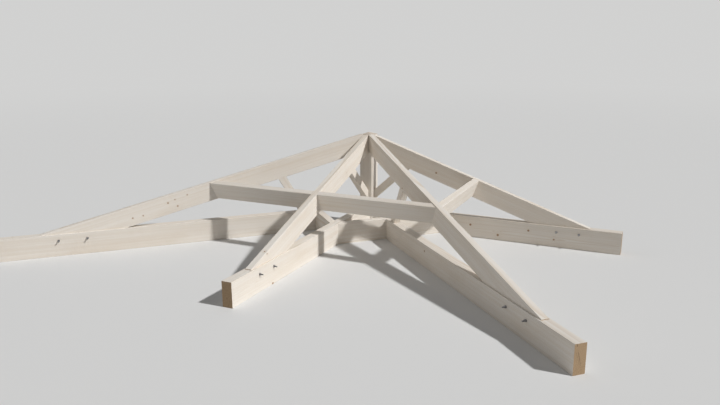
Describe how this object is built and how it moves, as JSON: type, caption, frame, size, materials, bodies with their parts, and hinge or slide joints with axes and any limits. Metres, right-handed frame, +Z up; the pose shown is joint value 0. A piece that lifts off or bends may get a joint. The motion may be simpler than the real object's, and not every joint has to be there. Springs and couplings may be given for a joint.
{
  "type": "wooden roof truss",
  "caption": "Half of a pyramid roof frame in planed timber: hip and common rafters on ties fan out from a king post, with struts, purlins and trimmers.",
  "frame": {"origin": "on the king post axis, at the foot of the post, level with the undersides of the ties", "axes": "+Z up along the king post, -Y outward along the front common tie, +X outward along the right common tie; the hip ties point to the left front and right front corners"},
  "size_m": [6.93, 3.565, 1.34],
  "materials": {
    "post_timber": "planed, uncoated softwood",
    "rafter_timber": "planed, uncoated softwood",
    "tie_timber": "planed, uncoated softwood",
    "purlin_timber": "planed, uncoated softwood",
    "trimmer_timber": "planed, uncoated softwood",
    "strut_timber": "planed, uncoated softwood",
    "bolt_steel": "plain dark steel"
  },
  "bodies": {
    "root": {"king_post": "post_timber", "left_hip_rafter": "rafter_timber", "front_common_rafter": "rafter_timber", "right_hip_rafter": "rafter_timber", "right_common_rafter": "rafter_timber", "left_hip_tie": "tie_timber", "front_common_tie": "tie_timber", "right_hip_tie": "tie_timber", "right_common_tie": "tie_timber", "left_hip_strut": "strut_timber", "front_common_strut": "strut_timber", "right_hip_strut": "strut_timber", "right_common_strut": "strut_timber", "left_purlin": "purlin_timber", "front_purlin": "purlin_timber", "right_purlin": "purlin_timber", "left_trimmer": "trimmer_timber", "right_trimmer": "trimmer_timber", "heel_bolts": "bolt_steel", "heel_washers": "bolt_steel", "heel_nuts": "bolt_steel"}
  },
  "joints": []
}
